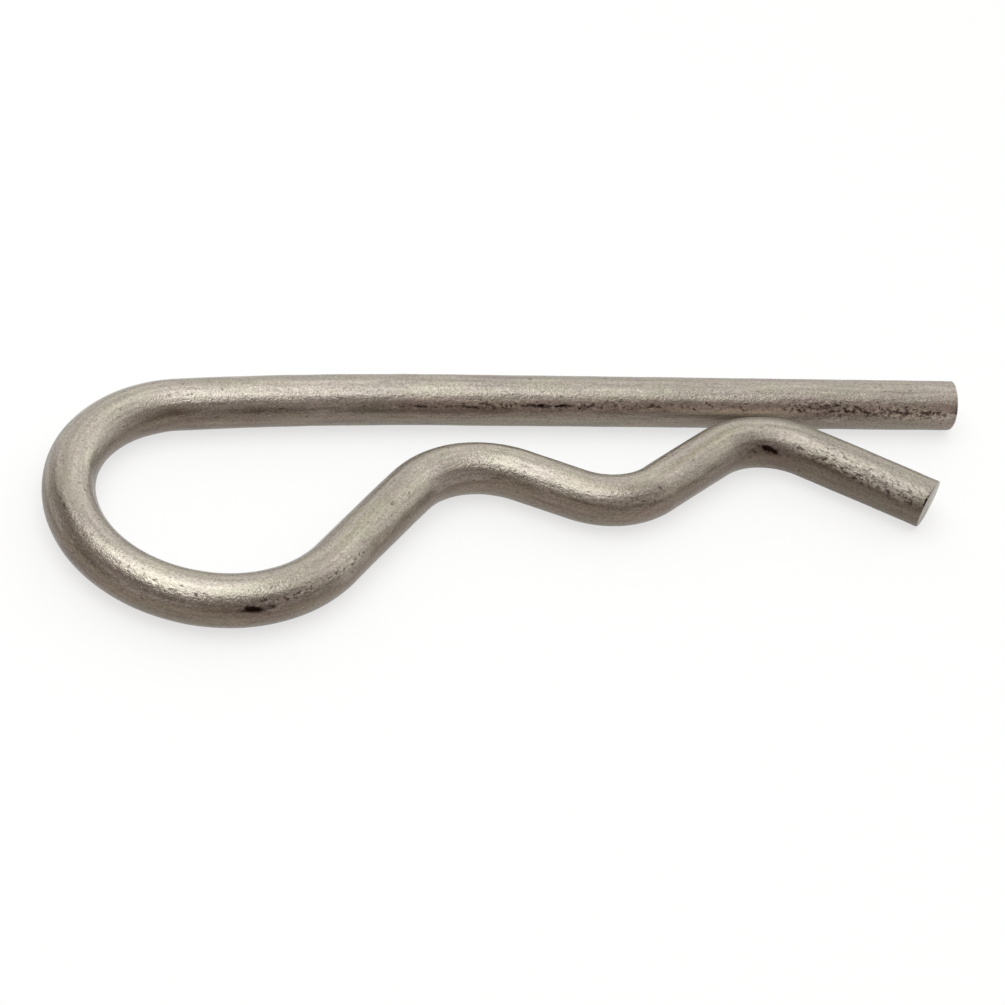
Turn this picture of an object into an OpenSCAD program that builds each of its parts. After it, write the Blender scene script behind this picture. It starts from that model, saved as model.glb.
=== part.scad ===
// Hitch R clip: one length of round spring wire, bent flat into a straight leg, a loop and a waved leg.
// The straight leg goes through the cross hole of a hitch pin, and the wave snaps over the outside of the pin.
//
// Millimetres. The clip lies flat on Z = 0. The straight leg runs along X with its free end towards +X, and
// the waved leg is on its -Y side. The origin is under the middle of the overall length and width.

/* [Wire] */
// Diameter of the wire
wire_d = 4.5; // [3:0.1:6]
// Width of the broken edge round each cut end
end_break = 0.3; // [0.1:0.05:0.8]
// Radius of the slight bow that the wire keeps in the runs between its bends
run_r = 600; // [300:10:1500]

/* [Straight leg] */
// Overall length, from the outside of the loop to the free end of the straight leg
overall_l = 83.2; // [65:0.1:120]
// Centreline radius of the slight bow where the leg nears the loop
bow_r = 285; // [120:5:400]
// Angle that the bow turns through
bow_angle = 4.8; // [1:0.1:8]

/* [Loop] */
// Inside diameter of the loop
loop_id = 19.8; // [16:0.1:26]
// Inside diameter of the tighter shoulder, where the bow runs into the loop
shoulder_id = 18; // [13:0.1:20]
// Angle that the shoulder turns through
shoulder_angle = 73; // [20:1:80]

/* [Waved leg] */
// Slope of the run from the loop up to the first crest, where it leaves the loop
climb_angle = 49.5; // [40:0.5:60]
// Clear gap between the first crest and the straight leg
crest1_gap = 4.2; // [2:0.1:5.5]
// Inside radius of the first crest
crest1_ir = 6.1; // [4:0.1:9]
// Slope of the run from the first crest down to the seat, where it leaves the crest
fall_angle = 27; // [20:0.5:35]
// Clear depth of the pin's seat, from the straight leg to the bottom of the valley
seat_depth = 8.1; // [6.5:0.1:12]
// Inside radius of the valley that the pin sits in
seat_ir = 4.7; // [3:0.1:7]
// Slope of the run from the seat up to the second crest, where it leaves the seat
rise_angle = 37; // [25:0.5:50]
// Clear gap between the second crest and the straight leg
crest2_gap = 0.6; // [0.3:0.05:3]
// Inside radius of the second crest
crest2_ir = 5.1; // [3:0.1:8]
// Slope of the tail where it leaves the second crest, flaring away from the straight leg
tail_angle = 33.5; // [20:0.5:50]
// Length of the tail from the second crest to its cut end
tail_l = 11.6; // [6:0.1:20]

/* [Hidden] */

// Facets of the wire's section, and of a full turn of a bend
$fn = 64;
turn_facets = 360;

// Radii of the wire and of each bend's centreline
wire_r = wire_d / 2;
loop_r = loop_id / 2 + wire_r;
shoulder_r = shoulder_id / 2 + wire_r;
crest1_r = crest1_ir + wire_r;
seat_r = seat_ir + wire_r;
crest2_r = crest2_ir + wire_r;

// The loop's centre, measured from the start of the bow on the straight leg's axis
shoulder_end = bow_angle + shoulder_angle;
bow_to_loop_x = (bow_r - shoulder_r) * sin(bow_angle) + (shoulder_r - loop_r) * sin(shoulder_end);
loop_y = -bow_r + (bow_r - shoulder_r) * cos(bow_angle) + (shoulder_r - loop_r) * cos(shoulder_end);

// Y of the centreline at each turning point, measured from the straight leg's axis
loop_bottom_y = loop_y - loop_r;
crest1_y = -(wire_d + crest1_gap);
seat_y = -(wire_d + seat_depth);
crest2_y = -(wire_d + crest2_gap);

// The straight leg from its free end to the bow, with X measured from the loop's centre
leg_end_x = overall_l - loop_r - wire_r;
leg_run = leg_end_x - bow_to_loop_x;

// Slope at which a run meets the next bend, when it leaves bend a at a given slope and the two bends' turning
// points are a height apart. The run bows the same way as bend b, so it flattens a little on the way.
function slope_at_end(height, r_a, r_b, slope) =
    acos((height - r_a * (1 - cos(slope)) + run_r * cos(slope) - r_b) / (run_r - r_b));
climb_end = slope_at_end(crest1_y - loop_bottom_y, loop_r, crest1_r, climb_angle);
fall_end = slope_at_end(crest1_y - seat_y, crest1_r, seat_r, fall_angle);
rise_end = slope_at_end(crest2_y - seat_y, seat_r, crest2_r, rise_angle);
tail_turn = tail_l / run_r * 180 / PI;

// Angles are kept to a thousandth of a degree, and the path is laid out from the angles kept
function kept(angle) = round(angle * 1000) / 1000;

// The curves of the wire in order from the end of the straight leg: the radius of the centreline, and the
// angle it turns through, positive to the left
CURVES = [
    [bow_r, kept(bow_angle)],
    [shoulder_r, kept(shoulder_angle)],
    [loop_r, kept(180 - shoulder_end + climb_angle)],
    [run_r, kept(climb_end - climb_angle)],
    [crest1_r, kept(-climb_end - fall_angle)],
    [run_r, kept(fall_angle - fall_end)],
    [seat_r, kept(fall_end + rise_angle)],
    [run_r, kept(rise_end - rise_angle)],
    [crest2_r, kept(-rise_end - tail_angle)],
    [run_r, kept(-tail_turn)],
];
last = len(CURVES) - 1;

// Heading of the wire where curve i starts, the side its centre is on, and the points it starts from and
// turns about
function left_of(heading) = [-sin(heading), cos(heading)];
function side(i) = CURVES[i][1] < 0 ? -1 : 1;
function heading_at(i) = i == 0 ? 180 : heading_at(i - 1) + CURVES[i - 1][1];
function start_of(i) =
    i == 0 ? [bow_to_loop_x, 0]
           : centre_of(i - 1) - side(i - 1) * CURVES[i - 1][0] * left_of(heading_at(i));
function centre_of(i) = start_of(i) + side(i) * CURVES[i][0] * left_of(heading_at(i));

// Moves in a coarse and a fine step, so that pieces which share an end meet without a rounding gap
module place(point) {
    coarse = [round(point.x * 100) / 100, round(point.y * 100) / 100];
    translate(coarse) translate(point - coarse) children();
}

// Curve i, as a part turn of a ring
module curve(i) {
    radius = CURVES[i][0];
    turn = CURVES[i][1];
    first = heading_at(i) - side(i) * 90 + min(turn, 0);
    place(centre_of(i))
        rotate_extrude(angle = abs(turn), start = (first % 360 + 360) % 360, $fn = turn_facets)
            translate([radius, 0]) circle(wire_r, $fn = 64);
}

// The ring of metal that comes off when the edge of a cut end is broken. The cut face is on Z = 0, and the
// wire is below it.
module edge_trim()
    rotate_extrude() polygon([
        [wire_r + end_break / 2, -1.5 * end_break],
        [wire_r - 1.5 * end_break, end_break / 2],
        [wire_r + end_break / 2, end_break / 2],
    ]);

module straight_leg() place(start_of(0)) rotate([0, 90, 0]) difference() {
    cylinder(h = leg_run, r = wire_r);
    translate([0, 0, leg_run]) edge_trim();
}

module tail() difference() {
    curve(last);
    translate(start_of(last + 1)) rotate([0, 90, heading_at(last + 1)]) edge_trim();
}

module wire_clip()
    color([0.56, 0.53, 0.49]) translate([loop_r + wire_r - overall_l / 2, -loop_bottom_y / 2, wire_r]) {
        straight_leg();
        for (i = [0 : last - 1]) curve(i);
        tail();
    }

wire_clip();
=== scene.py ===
"""Hitch R clip in dull plated spring wire, lying flat on a white table.

The bent wire is swept as one closed mesh along the same path as the solid it stands for. Its marks are laid
out on the wire as it was before bending: lines from drawing, pits and dark scuffs from the bending tools,
and also painted shade on the wire's sides and in stripes over its highlight, painted shadows along the
burrs of the cut ends, painted glints on the rims of pits, and painted light where the second crest and the
straight leg shade each other. Each is placed by its length along the wire from the straight leg's free end,
in millimetres, and by its angle round the wire, in degrees, with 90 on top and 0 on the left of the way the
wire runs.
"""

import math
from collections import namedtuple

import bpy
import numpy as np
from mathutils import Matrix, Vector


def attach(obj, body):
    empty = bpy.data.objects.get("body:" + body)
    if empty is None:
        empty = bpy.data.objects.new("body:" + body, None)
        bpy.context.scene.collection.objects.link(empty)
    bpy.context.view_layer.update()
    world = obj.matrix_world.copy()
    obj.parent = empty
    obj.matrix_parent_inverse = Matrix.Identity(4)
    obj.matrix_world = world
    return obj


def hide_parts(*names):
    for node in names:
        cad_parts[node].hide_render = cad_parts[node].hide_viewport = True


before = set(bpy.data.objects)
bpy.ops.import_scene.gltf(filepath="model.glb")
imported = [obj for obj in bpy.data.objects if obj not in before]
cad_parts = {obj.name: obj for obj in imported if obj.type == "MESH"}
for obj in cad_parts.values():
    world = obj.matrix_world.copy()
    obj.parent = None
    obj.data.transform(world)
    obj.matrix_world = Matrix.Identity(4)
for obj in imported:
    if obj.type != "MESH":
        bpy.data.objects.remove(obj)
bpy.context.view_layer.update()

MM = 0.001
SEED = 7

# The clip's driving sizes, in millimetres and degrees
WIRE_D = 4.5
RUN_R = 600.0
OVERALL_L = 83.2
BOW_R = 285.0
BOW_ANGLE = 4.8
LOOP_ID = 19.8
SHOULDER_ID = 18.0
SHOULDER_ANGLE = 73.0
CLIMB_ANGLE = 49.5
CREST1_GAP = 4.2
CREST1_IR = 6.1
FALL_ANGLE = 27.0
SEAT_DEPTH = 8.1
SEAT_IR = 4.7
RISE_ANGLE = 37.0
CREST2_GAP = 0.6
CREST2_IR = 5.1
TAIL_ANGLE = 33.5
TAIL_L = 11.6
WIRE_R = WIRE_D / 2

# The mesh: rings along the wire, points round each ring, rings over each rounded edge, and on each cut face
RINGS = 950
SIDES = 96
EDGE_RINGS = 7
FACE_RINGS = 4

# Rounding of the cut ends: the most and the least radius round the edge, and the angle where it is most
LEG_EDGE = (0.38, 0.09, 312)
TAIL_EDGE = (0.20, 0.08, 230)

# Lean of each sheared face: its slope, and the angle round the wire of the side that is longest. The tail's
# face also stands out a little, because the shear drew the wire out.
LEG_LEAN = math.tan(math.radians(2.3))
LEG_LONG_SIDE = 222
TAIL_LEAN = math.tan(math.radians(3.2))
TAIL_LONG_SIDE = 37
TAIL_DRAWN = 0.15

# Scuffs, with lines, specks and brown streaks among them, and painted shadows along the burrs of the cut
# ends:
# where each lies, the slant of its long axis, its half sizes and depth, how dark it is, and how strong the
# brown stain round it is
DarkMark = namedtuple("DarkMark", "along angle slant half_length half_width depth dark stain")
SCUFFS_AND_BURR_SHADOWS = {
    "loop_bottom": DarkMark(107.95, 154.5, 6, 1.15, 0.40, 0.050, 1.0, 0.85),
    "loop_bottom_trail": DarkMark(108.95, 153, 0, 0.90, 0.25, 0.012, 0.85, 0.6),
    "second_crest": DarkMark(165.40, 153, 13, 1.70, 0.43, 0.110, 1.0, 0.8),
    "second_crest_left": DarkMark(163.3, 156, 0, 1.00, 0.34, 0.012, 0.62, 0.75),
    "loop_left": DarkMark(90.0, 120, 4, 2.40, 0.30, 0.006, 0.50, 0.45),
    "climb_speck": DarkMark(124.3, 106, 0, 0.25, 0.23, 0.025, 0.75, 0.3),
    "seat_speck": DarkMark(151.3, 125, 0, 0.25, 0.23, 0.025, 0.75, 0.3),
    "leg_streak": DarkMark(11.9, 40, 0, 1.80, 0.26, 0.006, 0.66, 0.5),
    "leg_line_a": DarkMark(39.4, 31, 0, 2.30, 0.22, 0.006, 0.80, 0.4),
    "leg_line_b": DarkMark(37.0, 32, 0, 1.20, 0.22, 0.006, 0.76, 0.4),
    "leg_line_c": DarkMark(34.7, 30, 0, 1.00, 0.22, 0.006, 0.72, 0.4),
    "leg_line_d": DarkMark(29.0, 32, 0, 1.80, 0.24, 0.006, 0.64, 0.4),
    "leg_line_e": DarkMark(45.6, 27, 0, 3.20, 0.21, 0.004, 0.71, 0.4),
    "leg_line_f": DarkMark(50.0, 27, 0, 3.00, 0.21, 0.004, 0.67, 0.4),
    # Painted shadow along the burr at the straight leg's cut end
    "leg_burr_shadow": DarkMark(0.34, 31, 0, 0.22, 0.55, 0.0, 0.80, 0.3),
    "leg_brown": DarkMark(9.2, 24, 0, 1.00, 0.16, 0.0, 0.20, 0.7),
    "tail_brown": DarkMark(171.2, 151, 5, 1.20, 0.16, 0.0, 0.30, 0.7),
    # Painted shadows along the burr at the tail's cut end
    "tail_burr_shadow": DarkMark(180.98, 138, 0, 0.14, 0.60, 0.0, 0.95, 0.3),
    "tail_burr_shadow_low": DarkMark(180.98, 163, 0, 0.11, 0.60, 0.0, 0.60, 0.2),
}

# How many times larger than its scuff a stain is, and how steeply the sides of a dent fall
STAIN_REACH = 2.6
DENT_STEEPNESS = 1.5

# Bands along the wire: length and angle where each starts and where it ends, half width in degrees, and
# strength. They are pitted bands, painted shade in darker stripes, broken up by the drawn lines, that dims
# the highlight along the top of the waved leg, the browned flank of the straight leg, and painted light
# where the second crest and the leg shade each other across the narrow gap between them.
Band = namedtuple("Band", "start start_angle end end_angle half_width strength")
PITTED_BANDS = {
    "leg_end": Band(0.5, 21, 17.0, 34, 17, 1.0),
    "leg_crest": Band(17.0, 35, 27.0, 34, 12, 0.5),
    "leg_middle": Band(27.0, 34, 46.0, 29, 10, 0.85),
    "leg_far": Band(46.0, 28, 69.0, 29, 8, 0.40),
    "loop_low": Band(96.6, 116, 106.6, 142, 9, 0.5),
    "loop_right": Band(106.6, 142, 118.2, 136, 9, 0.7),
    "fall_and_seat": Band(136.0, 137, 151.0, 142, 8, 0.45),
    "tail": Band(168.0, 140, 180.9, 152, 12, 0.85),
    "tail_top": Band(169.0, 123, 180.5, 130, 13, 0.45),
}
# Painted shade that dims the highlight along the top of the waved leg
PAINTED_HIGHLIGHT_SHADE = {
    "climb": Band(109.0, 100, 128.0, 86, 9, 0.9),
    "climb_low": Band(119.0, 112, 128.0, 108, 9, 0.7),
    "seat": Band(143.0, 114, 152.0, 104, 14, 0.95),
    "rise": Band(152.0, 98, 162.0, 90, 9, 1.3),
}
BROWNED_BANDS = {
    "leg": Band(0.5, 25, 52.0, 25, 20, 1.0),
}
# Painted light where the second crest and the straight leg shade each other
PAINTED_GAP_LIGHT = {
    "crest": Band(159.0, 9, 169.5, 9, 24, 1.25),
    "leg": Band(15.5, 13, 28.5, 13, 9, 0.35),
}

# How steeply a band's ends fade, per millimetre
BAND_END_STEEPNESS = 1.5

# Random pits: how many lie all over the wire, and on each millimetre of a band of strength 1
PITS_ALL_OVER = 420
PITS_PER_BAND_MM = 3.5

# Sizes of the pits all over the wire and in the bands: the least and the most of their half length, half
# width and depth. In a band they stray from its middle by a share of its half width.
LOOSE_PIT_SIZES = ((0.2, 0.45), (0.15, 0.3), (0.004, 0.014))
BAND_PIT_SIZES = ((0.2, 0.4), (0.16, 0.26), (0.006, 0.022))
BAND_PIT_STRAY = 0.55

# How many half lengths away a pit is still worked out, and the depth that the material takes for a full pit
PIT_REACH = 3
FULL_PIT = 0.03

# Unevenness of the wire: depth, and size along and round the wire. Its mean lies a few times its standard
# deviation under the wire's nominal surface.
RELIEFS = ((0.0022, 0.55, 0.45), (0.0030, 5.0, 0.7), (0.0060, 5.0, 4.0))
RELIEF_SINK = 2

# Axes of the straight wire, as the material sees it
LEFT, UP, ALONG = range(3)

# Patterns of the material: how far each is drawn out along one axis, its scale in features per millimetre,
# its levels of finer detail, and how strong these are. The shear marks are those on the cut ends.
Pattern = namedtuple("Pattern", "stretch per_mm detail roughness")
PATTERNS = {
    "grain": Pattern(1.3, 2.6, 4, 0.62),
    "fine": Pattern(1.2, 6.0, 2, 0.55),
    "lines": Pattern(18, 2.6, 4, 0.6),
    "patches": Pattern(2.5, 0.55, 2, 0.55),
    "ragged": Pattern(1.6, 3.6, 3, 0.65),
    "streaks": Pattern(2.6, 4.5, 3, 0.6),
}
SHEAR_MARKS = Pattern(7, 3.2, 3, 0.65)

# Ramps turn a value into an amount: the values where a ramp starts and ends, and the amounts there
Ramp = namedtuple("Ramp", "start end at_start at_end", defaults=(0.0, 1.0))

# Painted shade on the wire's sides, darker and warmer, by the height over the wire's middle: from none on
# top to full on the sides, and less underneath, with an edge that wanders. On the straight leg it lies
# lower and less of it is left, by the length along the wire.
PAINTED_SHADE_SIDES = Ramp(1.43, 0.73)
PAINTED_SHADE_UNDER = Ramp(0.1, -0.8, 1.0, 0.85)
PAINTED_SHADE_WANDER = Ramp(0.3, 0.7, -0.35, 0.35)
LEG_PAINTED_SHADE_LOWER = Ramp(40.0, 70.0, 0.6, 0.0)
LEG_PAINTED_SHADE_LEFT = Ramp(40.0, 70.0, 0.68, 1.0)

# Dull plating by the length along the wire: in full on the tail, and in part on the straight leg, fading
# out along the bow. It is darker and rougher.
TAIL_DULL = Ramp(158.0, 170.0)
LEG_DULL = Ramp(46.0, 66.0, 0.45, 0.0)
DULL_SHADE = Ramp(0.0, 1.0, 1.0, 0.84)
DULL_ROUGHER = 0.15

# Shades and roughness of the plating by its patterns
PINK_PATCHES = Ramp(0.38, 0.62)
LINE_SHADE = Ramp(0.3, 0.7, 0.78, 1.20)
FINE_SHADE = Ramp(0.25, 0.75, 0.72, 1.28)
LINE_ROUGHNESS = Ramp(0.25, 0.75, 0.26, 0.35)

# How the patterns break up the marks that are stored on the mesh
HIGHLIGHT_SHADE_BREAKS = Ramp(0.35, 0.65, 0.4, 1.0)
GAP_LIGHT_BREAKS = Ramp(0.35, 0.60, 0.45, 1.0)
STAIN_BREAKS = Ramp(0.3, 0.7, 0.25, 0.85)

# Pits and scuffs: how much a band, a pit's depth and a scuff add to the pattern, and where the sum turns
# dark;
# the scuffs' part also draws the painted shadows along the burrs. The pits' dirt lets a little plating
# through, and painted glints make the rims between the pits paler.
PITS_BY_BAND = 0.15
PITS_BY_DEPTH = 0.12
PIT_EDGE = Ramp(0.61, 0.77)
PIT_COVER = 0.9
GLINT_EDGE = Ramp(0.50, 0.36)
GLINT_SHADE = Ramp(0.0, 1.0, 1.0, 1.7)
SCUFF_AND_SHADOW_WEIGHT = 0.80
SCUFF_AND_SHADOW_EDGE = Ramp(0.80, 1.12)

# Where on a sheared end the blade's cut gives way to the break, in millimetres left of the wire's middle,
# how far that edge wanders, and the shades of the shear marks
BREAK = Ramp(0.6, 0.1)
BREAK_WANDER = Ramp(0.3, 0.7, -0.5, 0.5)
SHEAR_SHADE = Ramp(0.3, 0.7, 0.75, 1.25)

# Heights of the wire's fine unevenness, in millimetres
GRAIN_HEIGHT = 0.036
FINE_HEIGHT = 0.030
LINE_HEIGHT = 0.010
PIT_HEIGHT = 0.020

# Colours of the wire: two tints of the plating, tints that multiply them where painted shade darkens its
# sides, where painted shade in stripes dims its highlight and where it is browned, painted light for the
# gap between the second crest and the leg, steel that is cut and broken, and the dirt in stains, pits and
# scuffs, which also draws the painted shadows along the burrs
OLIVE_STEEL = (0.385, 0.358, 0.298, 1)
PINK_STEEL = (0.385, 0.343, 0.303, 1)
PAINTED_SIDE_SHADE_TINT = (0.50, 0.44, 0.405, 1)
HIGHLIGHT_SHADE_TINT = (0.70, 0.70, 0.63, 1)
BROWN_TINT = (1.07, 0.965, 0.965, 1)
PAINTED_LIGHT_STEEL = (0.74, 0.70, 0.63, 1)
CUT_STEEL = (0.47, 0.455, 0.39, 1)
BROKEN_STEEL = (0.34, 0.322, 0.278, 1)
STAIN = (0.100, 0.066, 0.052, 1)
PIT_DIRT = (0.058, 0.037, 0.029, 1)
GRIME_AND_BURR_SHADOW = (0.016, 0.008, 0.006, 1)

# Camera: direction it looks from, its turn about its own axis, distance, focal length in pixels of a
# 1005 pixel frame, the point of the clip that it looks at, in millimetres, and its clipping, in metres
CAMERA_AZIMUTH = -18.41
CAMERA_ELEVATION = 42.46
CAMERA_ROLL = 12.924
CAMERA_DISTANCE = 293.394
CAMERA_FOCAL_PX = 3443.966
FRAME_PX = 1005
SENSOR_MM = 36.0
CAMERA_TARGET = (-2.527, -0.653, 2.25)
CAMERA_CLIP_START = 0.01
CAMERA_CLIP_END = 20.0

# The table: its side in metres, its white, roughness and shine, and how much of the white is its own light
# where it is seen
TABLE_SIDE = 6.0
TABLE_WHITE = (0.88, 0.88, 0.88, 1)
TABLE_ROUGHNESS = 0.9
TABLE_SPECULAR = 0.1
TABLE_OWN_LIGHT = 0.68

# Light panels, which all face the clip: width, depth and place in metres, and radiance. Then their colour,
# and the light from all round.
Panel = namedtuple("Panel", "width depth place radiance")
PANELS = {
    "softbox": Panel(0.39, 0.34, (-0.055, -0.015, 0.34), 2.25),
    "back_panel": Panel(2.2, 1.05, (0.20, 0.85, 0.56), 0.87),
    "right_panel": Panel(0.9, 0.8, (0.72, 0.23, 0.60), 0.66),
    "right_strip": Panel(1.3, 0.22, (0.95, 0.25, 0.13), 0.90),
}
PANEL_COLOUR = (0.955, 1.0, 1.0)
WORLD_COLOUR = (1.0, 0.865, 0.81, 1)
WORLD_STRENGTH = 0.385


def wire_curves():
    """Rows of (radius, turn in radians, positive to the left) after the straight leg, and where it lies."""
    loop_r, shoulder_r = LOOP_ID / 2 + WIRE_R, SHOULDER_ID / 2 + WIRE_R
    crest1_r, seat_r, crest2_r = CREST1_IR + WIRE_R, SEAT_IR + WIRE_R, CREST2_IR + WIRE_R
    bow = math.radians(BOW_ANGLE)
    shoulder_end = math.radians(BOW_ANGLE + SHOULDER_ANGLE)
    bow_x = (BOW_R - shoulder_r) * math.sin(bow) + (shoulder_r - loop_r) * math.sin(shoulder_end)
    loop_y = -BOW_R + (BOW_R - shoulder_r) * math.cos(bow) + (shoulder_r - loop_r) * math.cos(shoulder_end)
    bottom_y = loop_y - loop_r
    crest1_y, seat_y, crest2_y = (-(WIRE_D + gap) for gap in (CREST1_GAP, SEAT_DEPTH, CREST2_GAP))

    def slope_at_end(height, r_a, r_b, slope):
        cos_s = math.cos(math.radians(slope))
        return math.degrees(math.acos((height - r_a * (1 - cos_s) + RUN_R * cos_s - r_b) / (RUN_R - r_b)))

    climb_end = slope_at_end(crest1_y - bottom_y, loop_r, crest1_r, CLIMB_ANGLE)
    fall_end = slope_at_end(crest1_y - seat_y, crest1_r, seat_r, FALL_ANGLE)
    rise_end = slope_at_end(crest2_y - seat_y, seat_r, crest2_r, RISE_ANGLE)
    rows = [
        (BOW_R, BOW_ANGLE),
        (shoulder_r, SHOULDER_ANGLE),
        (loop_r, 180 - BOW_ANGLE - SHOULDER_ANGLE + CLIMB_ANGLE),
        (RUN_R, climb_end - CLIMB_ANGLE),
        (crest1_r, -climb_end - FALL_ANGLE),
        (RUN_R, FALL_ANGLE - fall_end),
        (seat_r, fall_end + RISE_ANGLE),
        (RUN_R, rise_end - RISE_ANGLE),
        (crest2_r, -rise_end - TAIL_ANGLE),
        (RUN_R, -math.degrees(TAIL_L / RUN_R)),
    ]
    origin = (loop_r + WIRE_R - OVERALL_L / 2, -bottom_y / 2)
    leg_end_x = OVERALL_L - loop_r - WIRE_R
    return [(r, math.radians(t)) for r, t in rows], bow_x, leg_end_x, origin


def wire_path(lengths):
    """Centreline points and headings at the given lengths from the straight leg's free end."""
    rows, bow_x, leg_end_x, origin = wire_curves()
    points = np.zeros(lengths.shape + (2,))
    headings = np.full(lengths.shape, math.pi)
    points[..., 0] = leg_end_x - lengths
    start = np.array([bow_x, 0.0])
    heading = math.pi
    done = leg_end_x - bow_x
    for radius, turn in rows:
        side = math.copysign(1.0, turn)
        centre = start + side * radius * np.array([-math.sin(heading), math.cos(heading)])
        here = lengths > done
        at = heading + side * (lengths[here] - done) / radius
        points[here] = centre + side * radius * np.stack([np.sin(at), -np.cos(at)], -1)
        headings[here] = at
        heading += turn
        done += radius * abs(turn)
        start = centre + side * radius * np.array([math.sin(heading), -math.cos(heading)])
    return points + np.array(origin), headings


def wire_length():
    """Length of the whole wire on its centreline."""
    rows, bow_x, leg_end_x, _ = wire_curves()
    return leg_end_x - bow_x + sum(r * abs(t) for r, t in rows)


def angle_gap(theta, degrees):
    """Gap in radians, between -pi and pi, from an angle given in degrees."""
    return (theta - np.radians(degrees) + math.pi) % (2 * math.pi) - math.pi


def edge_radius(theta, edge):
    """Rounding of a cut end at each angle round the wire."""
    most, least, worst = edge
    return least + (most - least) * (0.5 + 0.5 * np.cos(angle_gap(theta, worst)))


def ring_layout():
    """Length along the wire and distance from its middle for every ring and angle, cut face to cut face."""
    length = wire_length()
    theta = np.linspace(0, 2 * math.pi, SIDES, endpoint=False)
    leg_r, tail_r = edge_radius(theta, LEG_EDGE), edge_radius(theta, TAIL_EDGE)
    body = np.linspace(0, length, RINGS)[:, None]
    turn = np.linspace(math.pi / 2, 0, EDGE_RINGS, endpoint=False)[:, None]
    share = np.linspace(0, 1, FACE_RINGS + 1)[1:, None]
    edge_in, edge_out = 1 - np.sin(turn), 1 - np.cos(turn)
    along = np.vstack([
        np.zeros((FACE_RINGS - 1, SIDES)),
        leg_r * edge_in,
        body + leg_r * np.exp(-body) - tail_r * np.exp(body - length),
        length - (tail_r * edge_in)[::-1],
        np.full((FACE_RINGS - 1, SIDES), length),
    ])
    out = np.vstack([
        share[:-1] * (WIRE_R - leg_r),
        WIRE_R - leg_r * edge_out,
        np.full((RINGS, SIDES), WIRE_R),
        (WIRE_R - tail_r * edge_out)[::-1],
        share[-2::-1] * (WIRE_R - tail_r),
    ])
    leg_fade, tail_fade = np.exp(-along / WIRE_R), np.exp((along - length) / WIRE_R)
    along += leg_fade * LEG_LEAN * (WIRE_R - out * np.cos(angle_gap(theta, LEG_LONG_SIDE)))
    along += tail_fade * (TAIL_DRAWN + TAIL_LEAN * out * np.cos(angle_gap(theta, TAIL_LONG_SIDE)))
    return along, out, theta


def scuff_and_burr_shadow_field(along, theta):
    """How deep each point lies in the scuffs and painted burr shadows, up to 1, the stain round them, and
    the dents.
    """
    inside, stain, dent = (np.zeros(along.shape) for _ in range(3))
    for scuff in SCUFFS_AND_BURR_SHADOWS.values():
        ahead, across = along - scuff.along, angle_gap(theta, scuff.angle) * WIRE_R
        cos_s, sin_s = math.cos(math.radians(scuff.slant)), math.sin(math.radians(scuff.slant))
        reach = (((ahead * cos_s + across * sin_s) / scuff.half_length) ** 2
                 + ((across * cos_s - ahead * sin_s) / scuff.half_width) ** 2)
        inside = np.maximum(inside, scuff.dark * np.exp(-reach))
        stain = np.maximum(stain, scuff.stain * np.exp(-reach / STAIN_REACH ** 2))
        dent += scuff.depth * np.exp(-DENT_STEEPNESS * reach)
    return inside, stain, dent


def band_angle(band, along):
    """Angle of a band's middle, in degrees, at each length along the wire."""
    return np.interp(along, (band.start, band.end), (band.start_angle, band.end_angle))


def band_field(along, theta, bands):
    """How deep in a band each point lies, up to the band's strength in its middle."""
    most = np.zeros(along.shape)
    for band in bands.values():
        across = np.exp(-(np.degrees(angle_gap(theta, band_angle(band, along))) / band.half_width) ** 2)
        before = 1 + np.exp((band.start - along) * BAND_END_STEEPNESS)
        past = 1 + np.exp((along - band.end) * BAND_END_STEEPNESS)
        most = np.maximum(most, band.strength * across * (1 / before / past))
    return most


def pit_places(rng):
    """Random pits, all over the wire and more in the pitted bands: length, angle, half sizes and depth."""
    length = wire_length()
    for _ in range(PITS_ALL_OVER):
        s = rng.uniform(0, length)
        angle = rng.uniform(0, 360)
        yield (s, angle, *(rng.uniform(*size) for size in LOOSE_PIT_SIZES))
    for band in PITTED_BANDS.values():
        for _ in range(int(PITS_PER_BAND_MM * band.strength * (band.end - band.start))):
            s = rng.uniform(band.start, band.end)
            angle = band_angle(band, s) + rng.normal(0, BAND_PIT_STRAY * band.half_width)
            yield (s, angle, *(rng.uniform(*size) for size in BAND_PIT_SIZES))


def pit_field(along, theta):
    """Depth of the pits at each point."""
    depth = np.zeros(along.shape)
    middle = along.mean(1)
    for s, angle, half_length, half_width, deep in pit_places(np.random.default_rng(SEED)):
        first, last = np.searchsorted(middle, (s - PIT_REACH * half_length, s + PIT_REACH * half_length))
        reach = (((along[first:last] - s) / half_length) ** 2
                 + (angle_gap(theta, angle) * WIRE_R / half_width) ** 2)
        depth[first:last] = np.maximum(depth[first:last], deep * np.exp(-reach))
    return depth


def relief(rng, shape, pitch_along, pitch_round):
    """Seeded bumps of unit strength over the wire's grid, with the given sizes in millimetres."""
    rings, sides = shape
    per_mm_along = np.fft.fftfreq(rings, wire_length() / rings)[:, None]
    per_mm_round = np.fft.rfftfreq(sides, math.pi * WIRE_D / sides)
    keep = np.exp(-((per_mm_along * pitch_along) ** 2 + (per_mm_round * pitch_round) ** 2) / 2)
    bumps = np.fft.irfft2(np.fft.rfft2(rng.normal(size=shape)) * keep, shape)
    return bumps / bumps.std()


def drawn_wave(shape):
    """Unevenness of drawn and plated wire, all of it inwards: a grain, lines along it and slow waves."""
    rng = np.random.default_rng(SEED + 1)
    wave = sum(depth * relief(rng, shape, along, across) for depth, along, across in RELIEFS)
    return np.minimum(wave - RELIEF_SINK * wave.std(), 0)


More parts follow.
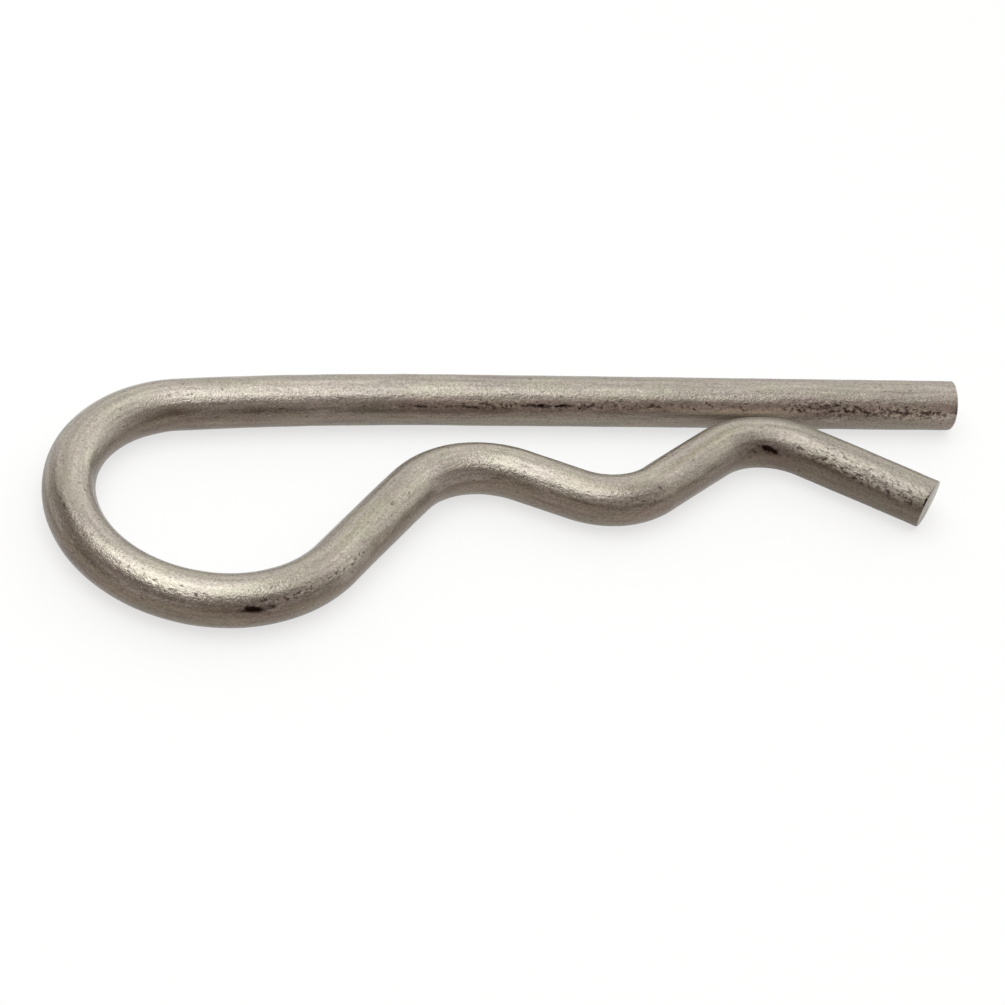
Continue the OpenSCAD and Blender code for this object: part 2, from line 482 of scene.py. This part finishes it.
def cut_field(shape):
    """1 on the two cut faces, 0 on the rest."""
    cut = np.zeros(shape)
    cut[:FACE_RINGS] = 1
    cut[-FACE_RINGS:] = 1
    return cut


def ring_faces(rings):
    """Faces between neighbouring rings, and the fans that close both ends on the last two points."""
    i, j = np.meshgrid(np.arange(rings - 1), np.arange(SIDES), indexing="ij")
    k = (j + 1) % SIDES
    corners = (i * SIDES + j, i * SIDES + k, (i + 1) * SIDES + k, (i + 1) * SIDES + j)
    quads = np.stack(corners, -1).reshape(-1, 4)
    around, after = np.arange(SIDES), (np.arange(SIDES) + 1) % SIDES
    tail_ring = (rings - 1) * SIDES
    leg_fan = np.stack([np.full(SIDES, rings * SIDES), after, around], -1)
    tail_fan = np.stack([np.full(SIDES, rings * SIDES + 1), tail_ring + around, tail_ring + after], -1)
    return quads.tolist() + leg_fan.tolist() + tail_fan.tolist()


def bend(along, out, theta):
    """Points of the bent wire, for lengths along it, distances from its middle and angles round it."""
    points, headings = wire_path(along)
    left = np.stack([-np.sin(headings), np.cos(headings), np.zeros(along.shape)], -1)
    outward = np.cos(theta)[:, None] * left + np.sin(theta)[:, None] * np.array([0, 0, 1.0])
    return np.concatenate([points, np.full(along.shape + (1,), WIRE_R)], -1) + out[..., None] * outward


def store(mesh, name, kind, key, values):
    """Values kept on the mesh's points, for the material to read."""
    layer = mesh.attributes.new(name, kind, "POINT")
    layer.data.foreach_set(key, np.asarray(values, np.float32).ravel())


def build_wire(material):
    """The bent wire as one closed mesh, with its place before bending and its marks on every point."""
    along, out, theta = ring_layout()
    scuffs_and_burr_shadows, stained, dent = scuff_and_burr_shadow_field(along, theta)
    pits, cut = pit_field(along, theta), cut_field(along.shape)
    out = out + (drawn_wave(along.shape) - dent - pits) * out / WIRE_R
    end_lengths = np.array([LEG_LEAN * WIRE_R, wire_length() + TAIL_DRAWN])
    end_points = np.c_[wire_path(end_lengths)[0], [WIRE_R, WIRE_R]]
    verts = np.vstack([bend(along, out, theta).reshape(-1, 3), end_points]) * MM

    mesh = bpy.data.meshes.new("bent_wire")
    mesh.from_pydata(verts.tolist(), [], ring_faces(len(along)))
    mesh.polygons.foreach_set("use_smooth", [True] * len(mesh.polygons))
    straight = np.stack([out * np.cos(theta), out * np.sin(theta), along], -1).reshape(-1, 3)
    end_straight = np.c_[np.zeros((2, 2)), end_lengths]
    store(mesh, "straight_wire", "FLOAT_VECTOR", "vector", np.vstack([straight, end_straight]))
    # Among the stored marks are painted shade in stripes, painted light in the gap by the second crest, and
    # painted burr shadows
    fields = {
        "scuffs_and_burr_shadows": scuffs_and_burr_shadows * (1 - cut),
        "stained": stained * (1 - cut),
        "cut_face": cut,
        "pitted": band_field(along, theta, PITTED_BANDS),
        "pit_depth": np.clip(pits / FULL_PIT, 0, 1),
        "highlight_shaded": band_field(along, theta, PAINTED_HIGHLIGHT_SHADE),
        "browned": band_field(along, theta, BROWNED_BANDS),
        "painted_gap_light": band_field(along, theta, PAINTED_GAP_LIGHT),
    }
    for name, field in fields.items():
        store(mesh, name, "FLOAT", "value", np.r_[field.ravel(), field[0, 0], field[-1, 0]])
    mesh.materials.append(material)
    mesh.update()
    wire = bpy.data.objects.new("bent_wire", mesh)
    bpy.context.scene.collection.objects.link(wire)
    return wire


def node(tree, kind, inputs=None, **settings):
    """A node with its sockets set to a value or joined to another node's output."""
    made = tree.nodes.new(kind)
    for name, value in settings.items():
        setattr(made, name, value)
    for name, value in (inputs or {}).items():
        if isinstance(value, bpy.types.NodeSocket):
            tree.links.new(value, made.inputs[name])
        else:
            made.inputs[name].default_value = value
    return made


def attribute(tree, name, output="Fac"):
    """What is stored on the mesh under a name."""
    return node(tree, "ShaderNodeAttribute", attribute_name=name).outputs[output]


def maths(tree, operation, a, b):
    """A sum, product or the like of two values."""
    return node(tree, "ShaderNodeMath", {0: a, 1: b}, operation=operation).outputs[0]


def remap(tree, value, ramp):
    """The amount that a ramp gives for a value."""
    inputs = {"Value": value, "From Min": ramp.start, "From Max": ramp.end,
              "To Min": ramp.at_start, "To Max": ramp.at_end}
    return node(tree, "ShaderNodeMapRange", inputs).outputs[0]


def noise(tree, place, pattern, axis=ALONG):
    """A pattern of noise on the straight wire, drawn out along one axis."""
    squeeze = [1 / pattern.stretch if i == axis else 1.0 for i in range(3)]
    drawn = node(tree, "ShaderNodeVectorMath", {0: place, 1: squeeze}, operation="MULTIPLY")
    inputs = {"Vector": drawn.outputs[0], "Scale": pattern.per_mm, "Detail": pattern.detail,
              "Roughness": pattern.roughness}
    return node(tree, "ShaderNodeTexNoise", inputs).outputs["Fac"]


def blend(tree, factor, a, b, how="MIX"):
    """Mix of two colours."""
    return node(tree, "ShaderNodeMix", {0: factor, 6: a, 7: b}, data_type="RGBA", blend_type=how).outputs[2]


def tinted(tree, amount, colour, tint):
    """A colour that is multiplied by a tint, as far as the amount says."""
    return blend(tree, amount, colour, blend(tree, 1.0, colour, tint, "MULTIPLY"))


def shaded(tree, colour, shade):
    """A colour that is made darker or paler by a shade, in which 1 changes nothing."""
    grey = node(tree, "ShaderNodeCombineColor", {0: shade, 1: shade, 2: shade}).outputs[0]
    return blend(tree, 1.0, colour, grey, "MULTIPLY")


def broken_up(tree, name, pattern, breaks):
    """A mark that is stored on the mesh, broken up by a pattern."""
    return maths(tree, "MULTIPLY", attribute(tree, name), remap(tree, pattern, breaks))


def painted_side_shade_amount(tree, laid, axes):
    """How much painted shade darkens the wire: none on top, most on its sides, and less on the straight
    leg.
    """
    height = maths(tree, "ADD", axes[UP], remap(tree, laid["patches"], PAINTED_SHADE_WANDER))
    leg_height = maths(tree, "ADD", height, remap(tree, axes[ALONG], LEG_PAINTED_SHADE_LOWER))
    sides = remap(tree, leg_height, PAINTED_SHADE_SIDES)
    under = remap(tree, height, PAINTED_SHADE_UNDER)
    left = remap(tree, axes[ALONG], LEG_PAINTED_SHADE_LEFT)
    return maths(tree, "MULTIPLY", maths(tree, "MULTIPLY", sides, under), left)


def dull_amount(tree, axes):
    """How dull the plating is, from 0 to 1, by the length along the wire."""
    return maths(tree, "ADD", remap(tree, axes[ALONG], TAIL_DULL), remap(tree, axes[ALONG], LEG_DULL))


def pit_amount(tree, laid):
    """How far into a pit a place is, from 0 to 1."""
    by_band = maths(tree, "MULTIPLY", attribute(tree, "pitted"), PITS_BY_BAND)
    by_depth = maths(tree, "MULTIPLY", attribute(tree, "pit_depth"), PITS_BY_DEPTH)
    bias = maths(tree, "ADD", by_band, by_depth)
    return remap(tree, maths(tree, "ADD", laid["ragged"], bias), PIT_EDGE)


def scuff_and_burr_shadow_amount(tree, laid):
    """How dark the scuffs and painted burr shadows are at a place, from 0 to 1, with streaky edges."""
    inside = maths(tree, "MULTIPLY", attribute(tree, "scuffs_and_burr_shadows"), SCUFF_AND_SHADOW_WEIGHT)
    return remap(tree, maths(tree, "ADD", laid["streaks"], inside), SCUFF_AND_SHADOW_EDGE)


def cut_colour(tree, place, axes):
    """A sheared end: pale streaks where the blade passed, and a duller break past them."""
    marks = noise(tree, place, SHEAR_MARKS, LEFT)
    edge = maths(tree, "ADD", axes[LEFT], remap(tree, marks, BREAK_WANDER))
    colour = blend(tree, remap(tree, edge, BREAK), CUT_STEEL, BROKEN_STEEL)
    return shaded(tree, colour, remap(tree, marks, SHEAR_SHADE))


def plating_colour(tree, laid, dull):
    """The plating in two tints, shaded by drawn lines, fine grain and dullness, with painted glints on pit
    rims.
    """
    tint = blend(tree, remap(tree, laid["patches"], PINK_PATCHES), OLIVE_STEEL, PINK_STEEL)
    line_shade = remap(tree, laid["lines"], LINE_SHADE)
    shade = maths(tree, "MULTIPLY", line_shade, remap(tree, laid["fine"], FINE_SHADE))
    shade = maths(tree, "MULTIPLY", shade, remap(tree, dull, DULL_SHADE))
    # Painted glints: paler rims between the pits in the pitted bands
    painted_glints = broken_up(tree, "pitted", laid["ragged"], GLINT_EDGE)
    shade = maths(tree, "MULTIPLY", shade, remap(tree, painted_glints, GLINT_SHADE))
    return shaded(tree, tint, shade)


def wire_colour(tree, laid, place, axes, dull, pits):
    """The plating with painted shade and light, the cut ends, and the marks' dirt and painted burr shadows.
    """
    highlight_shade = broken_up(tree, "highlight_shaded", laid["lines"], HIGHLIGHT_SHADE_BREAKS)
    painted_gap_light = broken_up(tree, "painted_gap_light", laid["lines"], GAP_LIGHT_BREAKS)
    stains = broken_up(tree, "stained", laid["ragged"], STAIN_BREAKS)
    colour = plating_colour(tree, laid, dull)
    # Painted shade in stripes that dims the highlight on the waved leg
    colour = tinted(tree, highlight_shade, colour, HIGHLIGHT_SHADE_TINT)
    colour = tinted(tree, attribute(tree, "browned"), colour, BROWN_TINT)
    # Painted shade, darker and warmer, on the wire's sides and underside
    colour = tinted(tree, painted_side_shade_amount(tree, laid, axes), colour, PAINTED_SIDE_SHADE_TINT)
    # Painted light in the gap between the second crest and the straight leg
    colour = blend(tree, painted_gap_light, colour, PAINTED_LIGHT_STEEL)
    colour = blend(tree, attribute(tree, "cut_face"), colour, cut_colour(tree, place, axes))
    colour = blend(tree, stains, colour, STAIN)
    colour = blend(tree, maths(tree, "MULTIPLY", pits, PIT_COVER), colour, PIT_DIRT)
    # The scuffs' dark dirt, which also draws the painted shadows along the burrs
    return blend(tree, scuff_and_burr_shadow_amount(tree, laid), colour, GRIME_AND_BURR_SHADOW)


def wire_roughness(tree, laid, dull):
    """Roughness by the drawn lines and the dullness."""
    by_dull = maths(tree, "MULTIPLY", dull, DULL_ROUGHER)
    return maths(tree, "ADD", remap(tree, laid["lines"], LINE_ROUGHNESS), by_dull)


def wire_normal(tree, laid, pits):
    """Fine unevenness of the wire, too small for the mesh."""
    height = maths(tree, "MULTIPLY", laid["grain"], GRAIN_HEIGHT)
    height = maths(tree, "ADD", height, maths(tree, "MULTIPLY", laid["fine"], FINE_HEIGHT))
    height = maths(tree, "ADD", height, maths(tree, "MULTIPLY", laid["lines"], LINE_HEIGHT))
    height = maths(tree, "SUBTRACT", height, maths(tree, "MULTIPLY", pits, PIT_HEIGHT))
    return node(tree, "ShaderNodeBump", {"Height": height, "Distance": MM, "Strength": 1.0}).outputs[0]


def plated_steel():
    """The wire's material: dull plated steel, laid out on the wire as it was before bending."""
    material = bpy.data.materials.new("dull_plated_steel")
    material.use_nodes = True
    tree = material.node_tree
    place = attribute(tree, "straight_wire", "Vector")
    axes = node(tree, "ShaderNodeSeparateXYZ", {0: place}).outputs
    laid = {name: noise(tree, place, pattern) for name, pattern in PATTERNS.items()}
    dull = dull_amount(tree, axes)
    pits = pit_amount(tree, laid)

    bsdf = tree.nodes["Principled BSDF"]
    bsdf.inputs["Metallic"].default_value = 1.0
    tree.links.new(wire_colour(tree, laid, place, axes, dull, pits), bsdf.inputs["Base Color"])
    tree.links.new(wire_roughness(tree, laid, dull), bsdf.inputs["Roughness"])
    tree.links.new(wire_normal(tree, laid, pits), bsdf.inputs["Normal"])
    return material


def aim_camera():
    """The camera, placed by the direction it looks from, its distance and its turn."""
    az, el, roll = (math.radians(a) for a in (CAMERA_AZIMUTH, CAMERA_ELEVATION, CAMERA_ROLL))
    back = Vector((math.sin(az) * math.cos(el), -math.cos(az) * math.cos(el), math.sin(el)))
    level_right = (-back).cross(Vector((0, 0, 1))).normalized()
    level_up = level_right.cross(-back)
    right = math.cos(roll) * level_right + math.sin(roll) * level_up
    up = math.cos(roll) * level_up - math.sin(roll) * level_right
    camera = bpy.data.objects.new("camera", bpy.data.cameras.new("camera"))
    bpy.context.scene.collection.objects.link(camera)
    place = (Vector(CAMERA_TARGET) + CAMERA_DISTANCE * back) * MM
    turn = Matrix((right, up, back)).transposed().to_4x4()
    camera.matrix_world = Matrix.Translation(place) @ turn
    camera.data.sensor_width = SENSOR_MM
    camera.data.lens = SENSOR_MM * CAMERA_FOCAL_PX / FRAME_PX
    camera.data.clip_start = CAMERA_CLIP_START
    camera.data.clip_end = CAMERA_CLIP_END
    bpy.context.scene.camera = camera


def white_table():
    """A white that the clip still shades: where it is seen, part of its light is its own."""
    material = bpy.data.materials.new("white_table")
    material.use_nodes = True
    tree = material.node_tree
    bsdf = tree.nodes["Principled BSDF"]
    bsdf.inputs["Base Color"].default_value = TABLE_WHITE
    bsdf.inputs["Roughness"].default_value = TABLE_ROUGHNESS
    bsdf.inputs["Specular IOR Level"].default_value = TABLE_SPECULAR
    rays = node(tree, "ShaderNodeLightPath").outputs
    seen = maths(tree, "MAXIMUM", rays["Is Camera Ray"], rays["Is Glossy Ray"])
    seen = maths(tree, "MAXIMUM", seen, rays["Is Transmission Ray"])
    own_light = maths(tree, "MULTIPLY", seen, TABLE_OWN_LIGHT)
    glow = node(tree, "ShaderNodeEmission", {"Color": (1, 1, 1, 1), "Strength": 1.0})
    mix = node(tree, "ShaderNodeMixShader", {0: own_light, 1: bsdf.outputs[0], 2: glow.outputs[0]})
    tree.links.new(mix.outputs[0], tree.nodes["Material Output"].inputs["Surface"])
    return material


def lay_table():
    """The table's top, which the clip lies on."""
    mesh = bpy.data.meshes.new("table")
    half = TABLE_SIDE / 2
    corners = [(-half, -half, 0), (half, -half, 0), (half, half, 0), (-half, half, 0)]
    mesh.from_pydata(corners, [], [(0, 1, 2, 3)])
    mesh.materials.append(white_table())
    obj = bpy.data.objects.new("table", mesh)
    bpy.context.scene.collection.objects.link(obj)


def hang_panel(name, panel):
    """A soft light panel that faces the clip."""
    light = bpy.data.lights.new(name, "AREA")
    light.shape = "RECTANGLE"
    light.size = panel.width
    light.size_y = panel.depth
    light.energy = panel.radiance * math.pi * panel.width * panel.depth
    light.color = PANEL_COLOUR
    lamp = bpy.data.objects.new(name, light)
    lamp.location = panel.place
    lamp.rotation_mode = "QUATERNION"
    lamp.rotation_quaternion = (-Vector(panel.place)).to_track_quat("-Z", "Y")
    bpy.context.scene.collection.objects.link(lamp)


def light_world():
    """A dim, warm light from all round."""
    world = bpy.data.worlds.new("studio")
    bpy.context.scene.world = world
    world.use_nodes = True
    background = world.node_tree.nodes["Background"]
    background.inputs["Color"].default_value = WORLD_COLOUR
    background.inputs["Strength"].default_value = WORLD_STRENGTH


wire = build_wire(plated_steel())
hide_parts("wire_clip")
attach(wire, "root")
aim_camera()
lay_table()
for name, panel in PANELS.items():
    hang_panel(name, panel)
light_world()
bpy.context.scene.view_settings.view_transform = "Standard"
